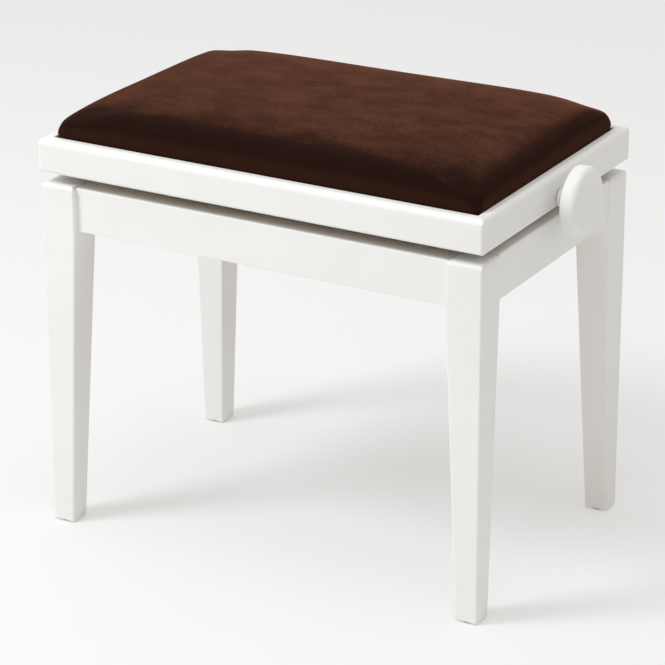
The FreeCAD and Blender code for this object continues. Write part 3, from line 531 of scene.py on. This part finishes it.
# The velour's hem: the same cloth goes on down the edge of the board and 25 mm in under it,
# where it is pulled tight, lies in small pleats and is held by the staples.
HEM = 0.0015
HEM_ROOM = 0.0007
HEM_GAP = 0.0002
HEM_ROUND = 0.001
HEM_FLAT = 0.012
HEM_CORNER = 0.008
FOLD = 0.025
FOLD_CORNER = 0.010
PLEAT = 0.0007
PLEATS_X, PLEATS_Y = 90.0, 70.0
LONG_CUTS, SHORT_CUTS, CORNER_CUTS = 40, 24, 12
hem_x, hem_y = opening_x - HEM_ROOM, opening_y - HEM_ROOM


def rounded_ring(in_x, in_y, corner, z):
    """Points around a rounded oblong, the same number whatever its size."""
    points = []
    for turn, (sx, sy) in enumerate(((1, 1), (-1, 1), (-1, -1), (1, -1))):
        middle = Vector((sx * (in_x - corner), sy * (in_y - corner), z))
        for step in range(CORNER_CUTS + 1):
            angle = math.pi / 2 * (turn + step / CORNER_CUTS)
            points.append(middle + corner * Vector((math.cos(angle), math.sin(angle), 0.0)))
        start = points[-1]
        if turn % 2 == 0:
            ahead, cuts = Vector((-sx * (in_x - corner), start.y, z)), LONG_CUTS
        else:
            ahead, cuts = Vector((start.x, -sy * (in_y - corner), z)), SHORT_CUTS
        points += [start.lerp(ahead, i / cuts) for i in range(1, cuts)]
    return [Vector((p.x + cushion_x, p.y, p.z)) for p in points]


hem_rings = []
hem_top, hem_low, hem_roof = board_high.z + BASE_EDGE, board_low.z - HEM, board_low.z - HEM_GAP
for inset, z, corner in ((0.0, hem_top, HEM_CORNER), (0.0, hem_low + HEM_ROUND, HEM_CORNER),
                         (HEM_ROUND, hem_low, HEM_CORNER), (HEM_FLAT, hem_low, HEM_CORNER),
                         (FOLD, hem_low, FOLD_CORNER), (FOLD, hem_roof, FOLD_CORNER),
                         (HEM, hem_roof, HEM_CORNER - HEM), (HEM, hem_top, HEM_CORNER - HEM)):
    ring = rounded_ring(hem_x - inset, hem_y - inset, corner, z)
    if inset == FOLD:
        for p in ring:
            p.z -= PLEAT * abs(math.sin(PLEATS_X * p.x) * math.cos(PLEATS_Y * p.y))
    hem_rings.append(ring)
hem = tube_mesh("velour_hem", hem_rings, False)
hem.data.materials.append(brown_velour)
hem.data.shade_smooth()
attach(hem, "seat")
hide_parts("seat_cover")


# The knob: turned from beech, a thick disc with a well rounded front edge on a short neck, sprayed white.
# The roll pin through its neck locks it to the spindle.
dress(white_lacquer("lacquer_turned", "x"), "knob")


# The studio: a sweep of pale paper as the floor, and a soft white room around it.
# Seen directly the paper is lifted towards white, but it keeps most of the stool's shadow.
PAPER_LIFT = 0.36
PAPER_SIZE = 14.0
ROOM_LEVEL = 0.62
ROOM_LIFT = 0.4


def studio_floor(name):
    material, shader, place = new_finish(name)
    tree = material.node_tree
    fibre = place.noise(700.0, 2.0)
    set_shader(shader, {
        "Base Color": place.noise(3.0, 2.0).between(seen(243, 243, 242), seen(245, 245, 244)),
        "Roughness": 0.85 + fibre * 0.1,
        "Specular IOR Level": 0.1,
    })
    ray = place.node("LightPath", {}, {}, "Is Camera Ray")
    gloss = Wire(ray.socket.node.outputs["Is Glossy Ray"])
    through = Wire(ray.socket.node.outputs["Is Transmission Ray"])
    lit = place.node("Emission", {}, {"Color": seen(253, 253, 253)})
    direct = place.sum("MINIMUM", ray + gloss + through, 1.0)
    mixed = place.node("MixShader", {}, {0: direct * PAPER_LIFT, 1: Wire(shader.outputs[0]), 2: lit})
    tree.links.new(mixed.socket, tree.nodes["Material Output"].inputs["Surface"])
    return material


sheet = bmesh.new()
bmesh.ops.create_grid(sheet, x_segments=8, y_segments=8, size=PAPER_SIZE)
floor = made_piece(sheet, "studio_floor")
floor.data.materials.append(studio_floor("studio_paper"))

world = bpy.data.worlds.new("studio_room")
bpy.context.scene.world = world
world.use_nodes = True
room = world.node_tree.nodes["Background"]
room_ray = Wire(world.node_tree.nodes.new("ShaderNodeLightPath").outputs["Is Camera Ray"])
room_gloss = Wire(room_ray.socket.node.outputs["Is Glossy Ray"])
room.inputs["Color"].default_value = (1.0, 0.98, 0.955, 1.0)
room_level = (room_ray + room_gloss).above(0.0, 1.0) * ROOM_LIFT + ROOM_LEVEL
world.node_tree.links.new(room_level.socket, room.inputs["Strength"])


def soft_lamp(name, place, aim, size, watts, colour):
    lamp = bpy.data.lights.new(name, "AREA")
    lamp.shape = "DISK"
    lamp.size = size
    lamp.energy = watts
    lamp.color = colour
    stand = bpy.data.objects.new(name, lamp)
    bpy.context.scene.collection.objects.link(stand)
    stand.location = place
    stand.rotation_mode = "QUATERNION"
    stand.rotation_quaternion = (Vector(aim) - Vector(place)).to_track_quat("-Z", "Y")


soft_lamp("key_light", (-1.6, -1.7, 2.75), (0.0, 0.0, 0.3), 1.1, 55.0, (0.90, 0.94, 1.0))
soft_lamp("top_light", (0.2, -0.3, 3.2), (0.0, 0.0, 0.3), 1.3, 11.0, (0.97, 0.98, 1.0))


# The camera stands in front of the right-hand end and looks down a little, through a long lens.
# Its place and turn were fitted to the straight edges of the tray, the aprons and the legs.
CAMERA_PLACE = (1.5336, -2.7156, 1.4818)
CAMERA_TURN = math.radians(29.80)
CAMERA_DIP = math.radians(21.99)
CAMERA_ROLL = math.radians(-0.19)
SENSOR_WIDTH = 36.0
FOCAL_SHARE = 3035.3 / 665.0
back = Vector((math.sin(CAMERA_TURN) * math.cos(CAMERA_DIP), -math.cos(CAMERA_TURN) * math.cos(CAMERA_DIP),
               math.sin(CAMERA_DIP)))
camera = bpy.data.objects.new("camera", bpy.data.cameras.new("camera"))
bpy.context.scene.collection.objects.link(camera)
camera.data.sensor_width = SENSOR_WIDTH
camera.data.lens = SENSOR_WIDTH * FOCAL_SHARE
camera.rotation_mode = "QUATERNION"
level = (-back).to_track_quat("-Z", "Y").to_matrix()
camera.rotation_quaternion = (level @ Matrix.Rotation(CAMERA_ROLL, 3, "Z")).to_quaternion()
camera.location = CAMERA_PLACE
bpy.context.scene.camera = camera
